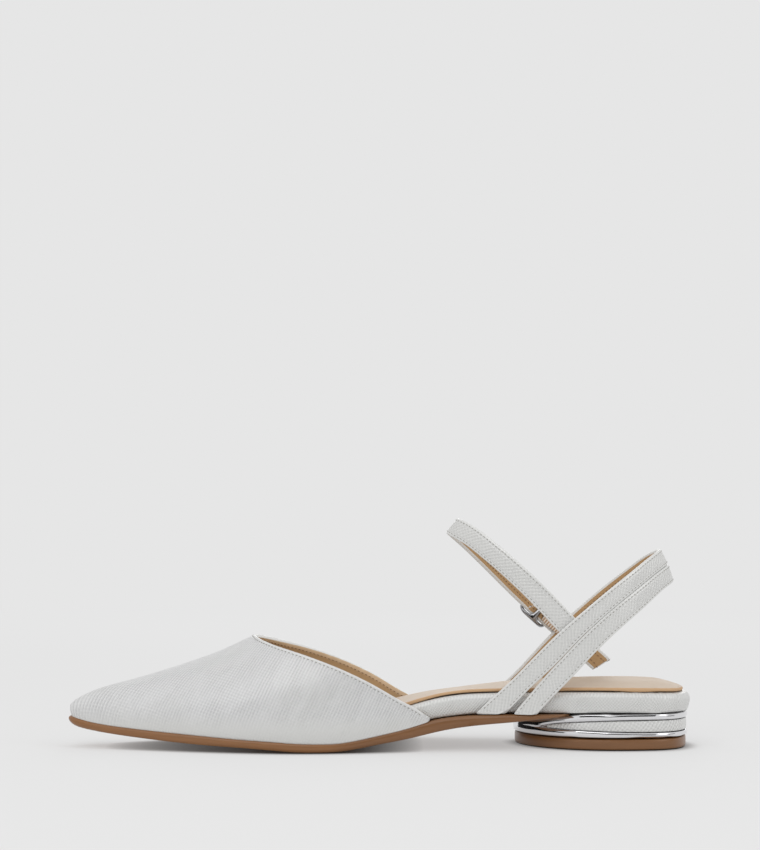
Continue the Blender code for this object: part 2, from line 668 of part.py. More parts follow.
def add_sling_straps():
    """Two straps side by side from the sole up round the back of the heel, a little apart at their feet."""
    points, along = curve_through(sling_line(), SLING_STATIONS)
    near = GAP / 2 + between(points[:, 2], SLING_PARTING_Z, (SLING_PARTING, 0.0))
    for name, strap in SLINGS.items():
        out, across = strap_frame(along, 0.0, strap["lean"])
        far = GAP / 2 + between(points[:, 2], strap["taper_z"], strap["widths"])
        middle = points + across * (strap["side"] * (near + far) / 2)[:, None]
        rings = band_rings(middle, out, across, far - near, STRAP_THICK)
        for end in (0, -1):
            floor = float(last("feather", rings[end][:, 0].mean())) + GAP + SLING_FOOT_CLEAR
            rise = (floor - rings[end][:, 2]) / along[end][2]
            rings[end] = rings[end] + rise[:, None] * along[end]
            if strap["side"] < 0:
                rings[end][BAND_FRONT_EDGE] += (-SLING_FOOT_FLARE, 0.0, 0.0)
        add_loft(name, "silver", list(np.delete(rings, [1, SLING_STATIONS - 1], axis=0)))


def ankle_band():
    """Points and directions along the ankle strap."""
    points, along = curve_through(np.column_stack([ANKLE["x"], ANKLE["y"], ANKLE["z"]]), ANKLE_STATIONS)
    out, across = strap_frame(-along, ANKLE_FRONT_LEAN, 0.0)
    return points, along, out, across


def add_ankle_strap():
    """Strap round the front of the ankle, with a hole for the buckle's pin."""
    points, along, out, across = ankle_band()
    rings = band_rings(points, out, across, ANKLE_WIDTH - ANKLE_FRONT_TAPER * out[:, 0]**2, STRAP_THICK)
    lower = np.sign(across[-1][2]) * (rings[-1] - points[-1]) @ across[-1] < 0
    rings[-1][lower] -= ANKLE_TIP_SLANT * along[-1]
    strap = add_loft("ankle_strap", "silver", list(rings))
    length, width = PIN_HOLE
    corners = [(a * length / 2, w * width / 2) for a, w in ((-1, -1), (1, -1), (1, 1), (-1, 1))]
    rings = [[buckle_point(PIN_HOLE_AT + a, w, depth) for a, w in corners]
             for depth in (-STRAP_THICK, STRAP_THICK)]
    cutter = add_loft("pin_hole_cutter", "brown", rings)
    cutter.hide_render = True
    cutter.display_type = "WIRE"
    hole = strap.modifiers.new("pin_hole", "BOOLEAN")
    hole.operation = "DIFFERENCE"
    hole.object = cutter


def buckle_axes():
    """Middle of the buckle on the strap, and its along, outward and across directions."""
    points, along, out, across = ankle_band()
    outer_side = np.where(points[:, 1] > 0, np.abs(points[:, 0] - BUCKLE_X), np.inf)
    near = np.argsort(outer_side)[:2]
    share = 1 - outer_side[near] / outer_side[near].sum()
    return tuple(share @ field[near] for field in (points, along, out, across))


def buckle_point(a, w, n):
    """Point at a distance along the strap from the buckle's centre bar, across it and outwards."""
    middle, along, out, across = buckle_axes()
    return middle + along * a + across * w + out * n


def add_rod(name, kind, points, radius, guide, closed=False):
    """Round bar of eight sides along points, closed to a loop or with flat ends.

    The guide is a direction that the bar never runs along.
    """
    points = np.asarray(points, float)
    ahead = np.roll(points, -1, axis=0) - np.roll(points, 1, axis=0)
    if not closed:
        ahead = np.gradient(points, axis=0)
    ahead /= np.linalg.norm(ahead, axis=1)[:, None]
    side = np.cross(ahead, guide)
    side /= np.linalg.norm(side, axis=1)[:, None]
    top = np.cross(side, ahead)
    turns = (np.arange(ROD_SIDES) + 0.5) * 2 * math.pi / ROD_SIDES
    rings = np.stack([points + radius * (math.cos(t) * side + math.sin(t) * top) for t in turns], axis=1)
    if not closed:
        return add_loft(name, kind, list(rings))
    return add_solid(name, kind, rings.reshape(-1, 3), ring_faces(len(points), ROD_SIDES, wrap=True))


def buckle_loop():
    """Loop of the buckle frame with round corners, bowed so that the strap passes under both its ends."""
    loop = []
    for angle in np.radians(np.arange(0.0, 360.0, 15.0)):
        c, s = round(math.cos(angle), 9), round(math.sin(angle), 9)
        a = BUCKLE_HALF_LENGTH * math.copysign(abs(c)**BUCKLE_SQUARENESS, c)
        w = BUCKLE_HALF_WIDTH * math.copysign(abs(s)**BUCKLE_SQUARENESS, s)
        loop.append(buckle_point(a, w, BUCKLE_BOW * (2 * (a / BUCKLE_HALF_LENGTH)**2 - 1)))
    return loop


def add_buckle_frame():
    """Plated frame with a centre bar; the bar lies inside the strap and the ends outside it."""
    _, _, out, _ = buckle_axes()
    frame = add_rod("buckle_frame", "chrome", buckle_loop(), BUCKLE_BAR, out, closed=True)
    ends = [buckle_point(0.0, side * BUCKLE_HALF_WIDTH, -BUCKLE_BOW) for side in (-1, 1)]
    bar = add_rod("buckle_bar_guide", "chrome", ends, CENTRE_BAR, out)
    bar.hide_render = True
    bar.display_type = "WIRE"
    union = frame.modifiers.new("centre_bar", "BOOLEAN")
    union.operation = "UNION"
    union.object = bar


def add_buckle_pin():
    """Pin that turns on the centre bar, goes through the strap and rests on the front end bar."""
    path = [buckle_point(a, 0.0, n) for a, n in zip(PIN["along"], PIN["out"])]
    return add_rod("buckle_pin", "chrome", path, PIN_RADIUS, buckle_axes()[3])


def add_elastic_tab():
    """Short ribbed elastic from the buckle's centre bar to the inside of the outer front sling strap."""
    _, _, out, across = buckle_axes()
    places = np.linspace(ELASTIC_START, ELASTIC_START + ELASTIC_LENGTH, ELASTIC_STATIONS)
    depths = np.linspace(BUCKLE_BOW, ELASTIC_INSIDE, ELASTIC_STATIONS)
    points = np.array([buckle_point(a, 0.0, -depth) for a, depth in zip(places, depths)])
    rings = band_rings(points, out, across, ELASTIC_WIDTH, ELASTIC_THICK)
    return add_loft("elastic_tab", "elastic", list(rings))


def main():
    for thing in list(bpy.data.objects):
        bpy.data.objects.remove(thing, do_unlink=True)
    add_outsole()
    add_midsole()
    add_insole()
    add_upper()
    add_heel_top_lift()
    add_heel_shell()
    add_heel_inlay()
    add_sling_straps()
    add_ankle_strap()
    add_buckle_frame()
    add_buckle_pin()
    add_elastic_tab()


main()
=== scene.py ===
# %% [markdown]
# # Dressing a pointed flat with sling straps
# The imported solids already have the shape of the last, the footbed, the straps and the heel. This lesson
# gives them what the eye looks for on a real shoe: cross-hatched pearl leather, a tan lining, folded
# edges, rows of thread, a padded insole and a plated heel. Each piece starts as a merged copy of its
# solid, so everything stays where the shoe was measured.

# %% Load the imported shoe
import math

import bmesh
import bpy
import numpy as np
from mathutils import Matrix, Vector
from mathutils.bvhtree import BVHTree
from mathutils.kdtree import KDTree


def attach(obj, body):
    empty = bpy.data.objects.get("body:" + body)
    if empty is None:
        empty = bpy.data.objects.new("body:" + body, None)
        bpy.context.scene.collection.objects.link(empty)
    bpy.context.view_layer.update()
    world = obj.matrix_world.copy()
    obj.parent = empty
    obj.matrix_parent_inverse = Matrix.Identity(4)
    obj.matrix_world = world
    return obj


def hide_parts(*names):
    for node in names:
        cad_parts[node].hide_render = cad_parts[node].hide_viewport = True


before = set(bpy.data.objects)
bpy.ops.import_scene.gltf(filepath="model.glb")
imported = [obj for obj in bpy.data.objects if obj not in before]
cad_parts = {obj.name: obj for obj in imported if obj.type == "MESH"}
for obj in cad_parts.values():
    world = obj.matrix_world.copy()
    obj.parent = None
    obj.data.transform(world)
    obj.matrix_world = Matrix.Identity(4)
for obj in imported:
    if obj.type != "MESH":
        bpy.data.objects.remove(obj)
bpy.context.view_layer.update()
MM = 0.001
print("solids:", sorted(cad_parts))

# %% [markdown]
# ## Camera
# The shoe was photographed from its inner side with a long lens, from a little above the floor, and it
# stands low in a tall picture. A lens shift could push it down in the frame, but then every other view
# would be off centre too. So the camera stands where it stood for the photograph and is tipped up a
# few degrees.

# %% Camera
CAMERA_DISTANCE = 1.1
CAMERA_RISE = math.radians(6.0)
CAMERA_TIP = math.radians(7.046)
CAMERA_LENS = 109.4
camera = bpy.data.objects.new("camera", bpy.data.cameras.new("camera"))
camera.data.lens = CAMERA_LENS
camera.location = (0.0, -CAMERA_DISTANCE * math.cos(CAMERA_RISE), CAMERA_DISTANCE * math.sin(CAMERA_RISE))
camera.rotation_euler = (math.pi / 2 - CAMERA_RISE + CAMERA_TIP, 0.0, 0.0)
bpy.context.scene.collection.objects.link(camera)
bpy.context.scene.camera = camera
print("camera at", [round(c, 3) for c in camera.location])

# %% [markdown]
# ## Colours and nodes
# Colours are picked as the hex values that a paint program shows. Shaders work in linear light, so one
# function turns the one into the other. A second small function adds a node, sets it up and links it,
# which keeps every material below a short list.

# %% Colour and node helpers
def hex_colour(code):
    """Linear colour of an sRGB hex value."""
    srgb = [int(code[i:i + 2], 16) / 255 for i in (0, 2, 4)]
    return (*[c / 12.92 if c <= 0.04045 else ((c + 0.055) / 1.055)**2.4 for c in srgb], 1.0)


def add_node(material, kind, inputs=None, **settings):
    """Add a node; inputs gives its sockets a value, or a link where the value is another node's socket."""
    made = material.node_tree.nodes.new(kind)
    for name, value in settings.items():
        setattr(made, name, value)
    for socket, value in (inputs or {}).items():
        if isinstance(value, bpy.types.NodeSocket):
            material.node_tree.links.new(value, made.inputs[socket])
        else:
            made.inputs[socket].default_value = value
    return made


def new_material(name, **sockets):
    """Start a material; sockets set its Principled shader. Returns the material and the shader."""
    material = bpy.data.materials.new(name)
    material.use_nodes = True
    shader = material.node_tree.nodes["Principled BSDF"]
    for socket, value in sockets.items():
        shader.inputs[socket.replace("_", " ")].default_value = value
    return material, shader


def link(material, output, node, socket):
    """Join an output socket to one of a node's inputs."""
    material.node_tree.links.new(output, node.inputs[socket])


BACKDROP = "E6E6E6"
print("backdrop is", [round(c, 3) for c in hex_colour(BACKDROP)])

# %% [markdown]
# ## Floor and light
# The photograph has one even grey all round and only a soft shadow under the shoe. A curved paper sweep
# would do that in a studio. Here an even sky of that same grey lights the shoe from all sides, and the
# floor is paper near the shoe that turns into the same even grey further out, so no horizon shows. The
# paper near the shoe also glows a little, and a painted contact shadow darkens its colour and its glow
# where the shoe comes within a few millimetres. Wide lamps above give the leather its soft highlights.
# Studios also hang dark cloths where polished metal would only mirror white: these are seen by mirror
# rays alone. A small black card under the waist is painted shade: it stands for the shaded floor under
# the arch in what the heel and leather mirror.

# %% Floor and sky
# The second tone is the colour of the painted contact shadow
PAPER_TONE, PAINTED_SHADOW_TONE = "A4A4A4", "2E241C"
PAPER_GLOW = 0.52
PAPER_RADIUS = (0.45, 1.1)
PAINTED_SHADOW_REACH = 6.5 * MM
FLOOR_SIZE, FLOOR_Z = 24.0, -0.2 * MM
bpy.context.scene.view_settings.view_transform = "Standard"
sky = bpy.data.worlds.new("even_sky")
sky.use_nodes = True
sky.node_tree.nodes["Background"].inputs["Color"].default_value = hex_colour(BACKDROP)
sky.node_tree.nodes["Background"].inputs["Strength"].default_value = 1.0
bpy.context.scene.world = sky

paper, paper_shader = new_material("studio_paper", Roughness=1.0, Specular_IOR_Level=0.0,
                                   Emission_Strength=PAPER_GLOW)
# Painted contact shadow: occlusion within a few millimetres of the shoe darkens the paper's colour and its
# glow
contact_shadow_ao = add_node(paper, "ShaderNodeAmbientOcclusion", {"Distance": PAINTED_SHADOW_REACH}, samples=8)
for socket, open_tone in (("Base Color", PAPER_TONE), ("Emission Color", BACKDROP)):
    painted_contact_shadow = add_node(paper, "ShaderNodeMix", {
        "Factor": contact_shadow_ao.outputs["AO"], 6: hex_colour(PAINTED_SHADOW_TONE), 7: hex_colour(open_tone)},
        data_type="RGBA")
    link(paper, painted_contact_shadow.outputs[2], paper_shader, socket)
place = add_node(paper, "ShaderNodeTexCoord").outputs["Object"]
distance = add_node(paper, "ShaderNodeVectorMath", {0: place}, operation="LENGTH").outputs["Value"]
far = add_node(paper, "ShaderNodeMapRange", {"Value": distance, "From Min": PAPER_RADIUS[0],
                                             "From Max": PAPER_RADIUS[1]}, interpolation_type="SMOOTHSTEP")
glow = add_node(paper, "ShaderNodeEmission", {"Color": hex_colour(BACKDROP)})
floor_mix = add_node(paper, "ShaderNodeMixShader", {
    "Fac": far.outputs["Result"], 1: paper_shader.outputs["BSDF"], 2: glow.outputs["Emission"]})
link(paper, floor_mix.outputs["Shader"], paper.node_tree.nodes["Material Output"], "Surface")

bpy.ops.object.select_all(action="DESELECT")
bpy.ops.mesh.primitive_plane_add(size=FLOOR_SIZE, location=(0.0, 0.0, FLOOR_Z))
floor = bpy.context.active_object
floor.name = "studio_floor"
bpy.ops.object.transform_apply(location=True, rotation=False, scale=False)
floor.data.materials.append(paper)
print("floor", tuple(round(c, 2) for c in floor.dimensions))

# %% Lamps and dark cloths
# A lamp's place, what it points at, its width in metres and its watts
LAMPS = {
    "over_lamp": ((-0.1, 0.1, 1.5), (0.0, 0.0, 0.03), 0.8, 1.4),
    "front_lamp": ((-0.4, -1.15, 1.03), (0.0, 0.0, 0.03), 1.1, 4.7),
    "right_lamp": ((1.3, -0.7, 0.9), (0.08, 0.0, 0.05), 0.7, 2.5),
    "back_lamp": ((0.15, 1.5, 0.6), (0.0, 0.0, 0.03), 0.8, 3.0),
}
for name, (spot, aim, size, power) in LAMPS.items():
    lamp = bpy.data.objects.new(name, bpy.data.lights.new(name, "AREA"))
    lamp.data.size = size
    lamp.data.energy = power
    lamp.location = spot
    lamp.rotation_euler = (Vector(aim) - Vector(spot)).to_track_quat("-Z", "Y").to_euler()
    bpy.context.scene.collection.objects.link(lamp)

# A cloth's place, and its width and height; all of them face the heel
CLOTH_AIM = Vector((0.08, 0.0, 0.02))
CLOTHS = {
    "dark_cloth_front": ((0.05, -1.0, 0.46), (1.6, 0.5)),
    "dark_cloth_left": ((-1.2, -0.6, 0.1), (0.5, 0.25)),
    "dark_cloth_right": ((1.3, -0.3, 0.25), (0.5, 0.3)),
    "dark_cloth_over": ((0.1, 0.25, 1.3), (0.6, 0.35)),
    # Painted shade: a black card under the waist, seen only by mirror rays, stands for the shaded floor under
    # the arch
    "painted_shade_card_under_waist": ((0.036, -0.004, 0.005), (0.08, 0.009)),
}
cloth_black, _ = new_material("black_cloth", Roughness=1.0, Base_Color=hex_colour("0A0A0A"))
for name, (spot, (wide, tall)) in CLOTHS.items():
    bpy.ops.object.select_all(action="DESELECT")
    bpy.ops.mesh.primitive_plane_add(size=1.0)
    cloth = bpy.context.active_object
    cloth.name = name
    cloth.scale = (wide, tall, 1.0)
    cloth.rotation_euler = (CLOTH_AIM - Vector(spot)).to_track_quat("-Z", "Y").to_euler()
    cloth.location = spot
    bpy.ops.object.transform_apply(location=True, rotation=True, scale=True)
    cloth.data.materials.append(cloth_black)
    for ray in ("camera", "diffuse", "transmission", "shadow"):
        setattr(cloth, "visible_" + ray, False)
print("lamps:", list(LAMPS), "cloths:", list(CLOTHS))

# %% [markdown]
# ## Pearl leather with a cross-hatched grain
# The upper, the straps, the footbed's edge and the heel's band are one leather: a split hide pressed
# between hatched rollers and foiled with a pale pearl. The press leaves two families of fine ridges that
# cross almost square, and each ridge is a broken streak, not a ruled line. Waves draw the ridges, and
# noise that is stretched along them fades them in and out. The pattern is drawn on a flat map of each
# cut piece in metres, so it bends with the leather as the real one does.

# %% Hatched grain
FLAT_MAP, EDGE_DISTANCE = "cut_pattern", "edge_distance"
WAVE_UNIT = math.pi / 10
RIDGE_SPACING, BAND_SPACING = 1.35 * MM, 0.95 * MM
STREAK_LENGTH, STREAK_WIDTH = 16.0 * MM, 9.0 * MM
CROSSING = 92.0
WAVE_SHIFT, STREAK_SHIFT = 13 * MM, 17 * MM


def press_hatch(leather, turn, cross, spacing):
    """Add two crossing families of ridges to a leather and return the socket with their height."""
    flat = add_node(leather, "ShaderNodeUVMap", uv_map=FLAT_MAP).outputs["UV"]
    ridges = []
    for family, (angle, weight) in enumerate(((turn, 1.0), (turn + CROSSING, cross))):
        spin = (0.0, 0.0, math.radians(angle))
        lines = add_node(leather, "ShaderNodeMapping", {
            "Vector": flat, "Location": (WAVE_SHIFT * family, 0.0, 0.0), "Rotation": spin},
            vector_type="TEXTURE")
        wave = add_node(leather, "ShaderNodeTexWave", {
            "Vector": lines.outputs["Vector"], "Scale": WAVE_UNIT / spacing, "Distortion": 0.9,
            "Detail": 1.0, "Detail Scale": 0.6}, bands_direction="Y")
        streaks = add_node(leather, "ShaderNodeMapping", {
            "Vector": flat, "Location": (STREAK_SHIFT * family, 0.0, 0.0), "Rotation": spin,
            "Scale": (STREAK_LENGTH, STREAK_WIDTH, 1.0)}, vector_type="TEXTURE")
        noise = add_node(leather, "ShaderNodeTexNoise", {
            "Vector": streaks.outputs["Vector"], "Scale": 1.0, "Detail": 2.0, "Roughness": 0.6},
            noise_dimensions="2D")
        fade = add_node(leather, "ShaderNodeMapRange", {
            "Value": noise.outputs["Fac"], "From Min": 0.36, "From Max": 0.62, "To Min": 0.5 * weight,
            "To Max": weight})
        crisp = add_node(leather, "ShaderNodeMapRange", {
            "Value": wave.outputs["Fac"], "From Min": 0.2, "From Max": 0.8, "To Min": -0.35,
            "To Max": 0.65}, interpolation_type="SMOOTHSTEP")
        ridge = add_node(leather, "ShaderNodeMath", {
            0: crisp.outputs["Result"], 1: fade.outputs["Result"]}, operation="MULTIPLY")
        ridges.append(ridge.outputs["Value"])
    hatch = add_node(leather, "ShaderNodeMath", {0: ridges[0], 1: ridges[1]}, operation="ADD")
    return hatch.outputs["Value"]


print("ridges every", RIDGE_SPACING / MM, "mm, on the footbed's edge every", BAND_SPACING / MM, "mm")

# %% Pearl leather
CLOUD_SIZE = 22 * MM
LASTED = (8.0 * MM, 17.0 * MM)
STITCH_INSET, STRAP_INSET = 1.3 * MM, 1.55 * MM
GROOVE_HALF_WIDTH, GROOVE_DEPTH = 0.5 * MM, 0.2 * MM
# Painted highlight: the paler colour of the margin between a sewn edge and its seam
PAINTED_EDGE_HIGHLIGHT = "DFDFDD"


def pearl_leather(name, turn, foils, depth, cross=0.55, spacing=RIDGE_SPACING, seam_inset=None,
                  lasted=None):
    """Foiled, hatch-pressed leather: the eye sees a soft satin sheen broken by fine crossing streaks.

    The turn is the angle in degrees of the first family of ridges on the cut piece, depth their height
    in metres and cross the strength of the second family. The foils are the colours between the ridges
    and on them, and of the clouds and stretched parts. A seam is a soft groove at its distance from the
    sewn edge: the hatch is pressed flat beside it, and the margin outside it is paler, a painted
    highlight for the light that the smooth folded margin catches. Lasted leather is pulled down over
    the last, which stretches the hatch smooth between two heights above the floor.
    """
    leather, shader = new_material(name, Metallic=0.2, Coat_Weight=0.1, Coat_Roughness=0.3)
    hatch = press_hatch(leather, turn, cross, spacing)
    if seam_inset:
        from_edge = add_node(leather, "ShaderNodeAttribute", attribute_name=EDGE_DISTANCE).outputs["Fac"]
        pressed = add_node(leather, "ShaderNodeMapRange", {
            "Value": from_edge, "From Min": 0.8 * seam_inset, "From Max": 1.5 * seam_inset, "To Min": 0.2})
        hatch = add_node(leather, "ShaderNodeMath", {0: hatch, 1: pressed.outputs["Result"]},
                         operation="MULTIPLY").outputs["Value"]
    body = add_node(leather, "ShaderNodeTexCoord").outputs["Object"]
    if lasted:
        height = add_node(leather, "ShaderNodeSeparateXYZ", {"Vector": body}).outputs["Z"]
        pulled = add_node(leather, "ShaderNodeMapRange", {
            "Value": height, "From Min": lasted[0], "From Max": lasted[1], "To Min": 0.3},
            interpolation_type="SMOOTHSTEP")
        hatch = add_node(leather, "ShaderNodeMath", {0: hatch, 1: pulled.outputs["Result"]},
                         operation="MULTIPLY").outputs["Value"]
    level = add_node(leather, "ShaderNodeMapRange", {
        "Value": hatch, "From Min": -0.5, "From Max": 0.5}).outputs["Result"]
    foil = add_node(leather, "ShaderNodeMix", {
        "Factor": level, 6: hex_colour(foils[0]), 7: hex_colour(foils[1])}, data_type="RGBA")
    noise = add_node(leather, "ShaderNodeTexNoise", {"Vector": body, "Scale": 1 / CLOUD_SIZE, "Detail": 2.0})
    cloud = add_node(leather, "ShaderNodeMapRange", {
        "Value": noise.outputs["Fac"], "From Min": 0.4, "To Max": 0.5})
    tone = add_node(leather, "ShaderNodeMix", {"Factor": cloud.outputs["Result"], 6: foil.outputs[2],
                                               7: hex_colour(foils[2])}, data_type="RGBA")
    if seam_inset:
        # Painted highlight: the margin outside the seam is painted paler
        margin = add_node(leather, "ShaderNodeMapRange", {
            "Value": from_edge, "From Min": 0.5 * seam_inset, "From Max": seam_inset, "To Min": 0.7,
            "To Max": 0.0})
        tone = add_node(leather, "ShaderNodeMix", {"Factor": margin.outputs["Result"], 6: tone.outputs[2],
                                                   7: hex_colour(PAINTED_EDGE_HIGHLIGHT)}, data_type="RGBA")
    if lasted:
        tone = add_node(leather, "ShaderNodeMix", {
            "Factor": pulled.outputs["Result"], 6: hex_colour(foils[2]), 7: tone.outputs[2]},
            data_type="RGBA")
    gloss = add_node(leather, "ShaderNodeMapRange", {"Value": level, "To Min": 0.48, "To Max": 0.30})
    normal = add_node(leather, "ShaderNodeBump", {"Height": hatch, "Strength": 1.0, "Distance": depth})
    if seam_inset:
        off_seam = add_node(leather, "ShaderNodeMath", {0: from_edge, 1: seam_inset}, operation="SUBTRACT")
        side = add_node(leather, "ShaderNodeMath", {0: off_seam.outputs["Value"]}, operation="ABSOLUTE")
        groove = add_node(leather, "ShaderNodeMapRange", {
            "Value": side.outputs["Value"], "From Max": GROOVE_HALF_WIDTH}, interpolation_type="SMOOTHSTEP")
        normal = add_node(leather, "ShaderNodeBump", {
            "Height": groove.outputs["Result"], "Strength": 0.5, "Distance": GROOVE_DEPTH,
            "Normal": normal.outputs["Normal"]})
    link(leather, tone.outputs[2], shader, "Base Color")
    link(leather, gloss.outputs["Result"], shader, "Roughness")
    link(leather, normal.outputs["Normal"], shader, "Normal")
    return leather


vamp_leather = pearl_leather("pearl_leather_vamp", 70.0, ("C8C8C9", "DFDFDF", "D4D4D1"), 0.24 * MM,
                             cross=0.28, seam_inset=STITCH_INSET, lasted=LASTED)
strap_leather = pearl_leather("pearl_leather_strap", 44.0, ("CDCDCB", "DBDBD9", "D1D1CE"), 0.11 * MM,
                              seam_inset=STRAP_INSET)
band_leather = pearl_leather("pearl_leather_band", 44.0, ("CCCCCA", "DADAD8", "D0D0CD"), 0.11 * MM,
                             spacing=BAND_SPACING)
inlay_leather = pearl_leather("pearl_leather_inlay", 56.0, ("CCCCCA", "E2E2E0", "D5D5D2"), 0.16 * MM)

# Where the leather is folded or skived thin, the press has gone: plain satin with a faint mottle
fold_leather, fold_shader = new_material("pearl_leather_fold", Roughness=0.55, Metallic=0.1)
fold_place = add_node(fold_leather, "ShaderNodeTexCoord").outputs["Object"]
fold_noise = add_node(fold_leather, "ShaderNodeTexNoise", {
    "Vector": fold_place, "Scale": 1 / (1.5 * MM), "Detail": 2.0})
fold_tone = add_node(fold_leather, "ShaderNodeMix", {
    "Factor": fold_noise.outputs["Fac"], 6: hex_colour("D6D6D4"), 7: hex_colour("E2E2E0")},
    data_type="RGBA")
link(fold_leather, fold_tone.outputs[2], fold_shader, "Base Color")
print("pearl leathers:", vamp_leather.name, strap_leather.name, band_leather.name, inlay_leather.name)

# %% [markdown]
# ## Lining, sole, plating, thread and elastic
# The lining and the insole are a smooth tan pigskin-like leather with faint pores. The sole is a moulded
# and burnished brown edge. The heel and buckle are plated zinc, polished like a mirror. Thread is twisted
# polyester, and the elastic is woven in ribs. Each one is matched to the photograph, starting from the
# typical roughness of that stuff.

# %% Tan leathers
# Painted highlight along the lining's sewn border: the distances over which it fades out
PAINTED_HIGHLIGHT_BAND = (2.1 * MM, 2.7 * MM)


def lining_leather(name, pale, deep, pore, painted_highlight=None):
    """Soft lining leather: matt and warm, with cloudy colour and pores of a given size in metres.

    A painted highlight is a lighter colour along the sewn border, for the light that falls on the top of
    the lining while the rest lies in shade; it ends at a distance from the sewn border.
    """
    leather, shader = new_material(name, Roughness=0.62, Specular_IOR_Level=0.35)
    body = add_node(leather, "ShaderNodeTexCoord").outputs["Object"]
    cloud = add_node(leather, "ShaderNodeTexNoise", {"Vector": body, "Scale": 1 / (9 * MM), "Detail": 4.0})
    grain = add_node(leather, "ShaderNodeTexVoronoi", {"Vector": body, "Scale": 1 / pore},
                     feature="SMOOTH_F1")
    tone = add_node(leather, "ShaderNodeMix", {"Factor": cloud.outputs["Fac"], 6: hex_colour(deep),
                                               7: hex_colour(pale)}, data_type="RGBA")
    # Painted highlight: the strip along the sewn border is painted lighter, where light falls on it
    if painted_highlight:
        from_edge = add_node(leather, "ShaderNodeAttribute", attribute_name=EDGE_DISTANCE).outputs["Fac"]
        painted_highlight_share = add_node(leather, "ShaderNodeMapRange", {"Value": from_edge, "From Min": PAINTED_HIGHLIGHT_BAND[0],
                                                         "From Max": PAINTED_HIGHLIGHT_BAND[1]})
        tone = add_node(leather, "ShaderNodeMix", {"Factor": painted_highlight_share.outputs["Result"], 6: hex_colour(painted_highlight),
                                                   7: tone.outputs[2]}, data_type="RGBA")
    relief = add_node(leather, "ShaderNodeBump", {"Height": grain.outputs["Distance"], "Strength": 0.25,
                                                  "Distance": 0.1 * MM})
    link(leather, tone.outputs[2], shader, "Base Color")
    link(leather, relief.outputs["Normal"], shader, "Normal")
    return leather


# The last colour is the painted highlight along the lining's sewn edge
lining = lining_leather("tan_lining_leather", "C9A980", "BF9E77", 0.5 * MM, "E2C8A6")
# Painted shade: the strap lining is a darker copy of the lining, for the shade on the straps' insides
strap_lining_painted_shade = lining_leather("tan_strap_lining", "BC9A70", "B08E66", 0.5 * MM)
sock = lining_leather("tan_insole_leather", "CEBFAF", "C3B29F", 0.6 * MM)
# Painted shade: the rolled edge is a darker, warmer copy of the insole leather, for the shade on its side
# below the lit top
sock_edge_painted_shade = lining_leather("tan_insole_edge_painted_shade", "C9A680", "BE9A74", 0.6 * MM)
print("tan leathers:", lining.name, strap_lining_painted_shade.name, sock.name)

# %% Sole
LAYER_LENGTH, LAYER_THICK = 50 / 3 * MM, 10 / 9 * MM
# Painted shade on the sole: where it starts and ends along the shoe, its share and its colour
PAINTED_SHADE_X, PAINTED_SHADE_SHARE, PAINTED_SHADE_TONE = (-26 * MM, -4 * MM), 0.26, "3C2614"

# A burnished edge has a low polish with fine streaks along it. From the waist back it is painted darker:
# painted shade, where the sole turns under
sole_brown, sole_shader = new_material("burnished_sole", Roughness=0.36, Coat_Weight=0.2,
                                       Coat_Roughness=0.2)
sole_place = add_node(sole_brown, "ShaderNodeTexCoord").outputs["Object"]
sole_layers = add_node(sole_brown, "ShaderNodeMapping", {
    "Vector": sole_place, "Scale": (1 / LAYER_LENGTH, 1 / LAYER_LENGTH, 1 / LAYER_THICK)})
sole_streaks = add_node(sole_brown, "ShaderNodeTexNoise", {
    "Vector": sole_layers.outputs["Vector"], "Scale": 1.0, "Detail": 3.0})
sole_tone = add_node(sole_brown, "ShaderNodeMix", {
    "Factor": sole_streaks.outputs["Fac"], 6: hex_colour("7C522C"), 7: hex_colour("94653A")},
    data_type="RGBA")
sole_along = add_node(sole_brown, "ShaderNodeSeparateXYZ", {"Vector": sole_place}).outputs["X"]
sole_waist_shade = add_node(sole_brown, "ShaderNodeMapRange", {
    "Value": sole_along, "From Min": PAINTED_SHADE_X[0], "From Max": PAINTED_SHADE_X[1], "To Max": PAINTED_SHADE_SHARE},
    interpolation_type="SMOOTHSTEP")
sole_painted_shade = add_node(sole_brown, "ShaderNodeMix", {
    "Factor": sole_waist_shade.outputs["Result"], 6: sole_tone.outputs[2], 7: hex_colour(PAINTED_SHADE_TONE)},
    data_type="RGBA")
sole_relief = add_node(sole_brown, "ShaderNodeBump", {
    "Height": sole_streaks.outputs["Fac"], "Strength": 0.12, "Distance": 0.1 * MM})
link(sole_brown, sole_painted_shade.outputs[2], sole_shader, "Base Color")
link(sole_brown, sole_relief.outputs["Normal"], sole_shader, "Normal")
print("sole:", sole_brown.name)

# %% Plating
def plated_zinc(name, code, patch, detail, dull):
    """Plated zinc, buffed like a mirror, with faint duller patches.

    A patch is its size in metres, detail how broken its outline is and dull its greatest roughness.
    """
    plated, shader = new_material(name, Metallic=1.0, Base_Color=hex_colour(code))
    body = add_node(plated, "ShaderNodeTexCoord").outputs["Object"]
    noise = add_node(plated, "ShaderNodeTexNoise", {"Vector": body, "Scale": 1 / patch, "Detail": detail})
    gloss = add_node(plated, "ShaderNodeMapRange", {
        "Value": noise.outputs["Fac"], "To Min": 0.06, "To Max": dull})
    link(plated, gloss.outputs["Result"], shader, "Roughness")
    return plated


plating = plated_zinc("polished_plating", "E6E6E8", 6 * MM, 3.0, 0.14)
# Painted shade: the buckle's wire is a darker copy of the heel's plating, for the dark surroundings and shade
# it mirrors
wire_plating_painted_shade = plated_zinc("plated_wire_painted_shade", "9C9C9E", 2 * MM, 2.0, 0.2)
print("plating:", plating.name, wire_plating_painted_shade.name)

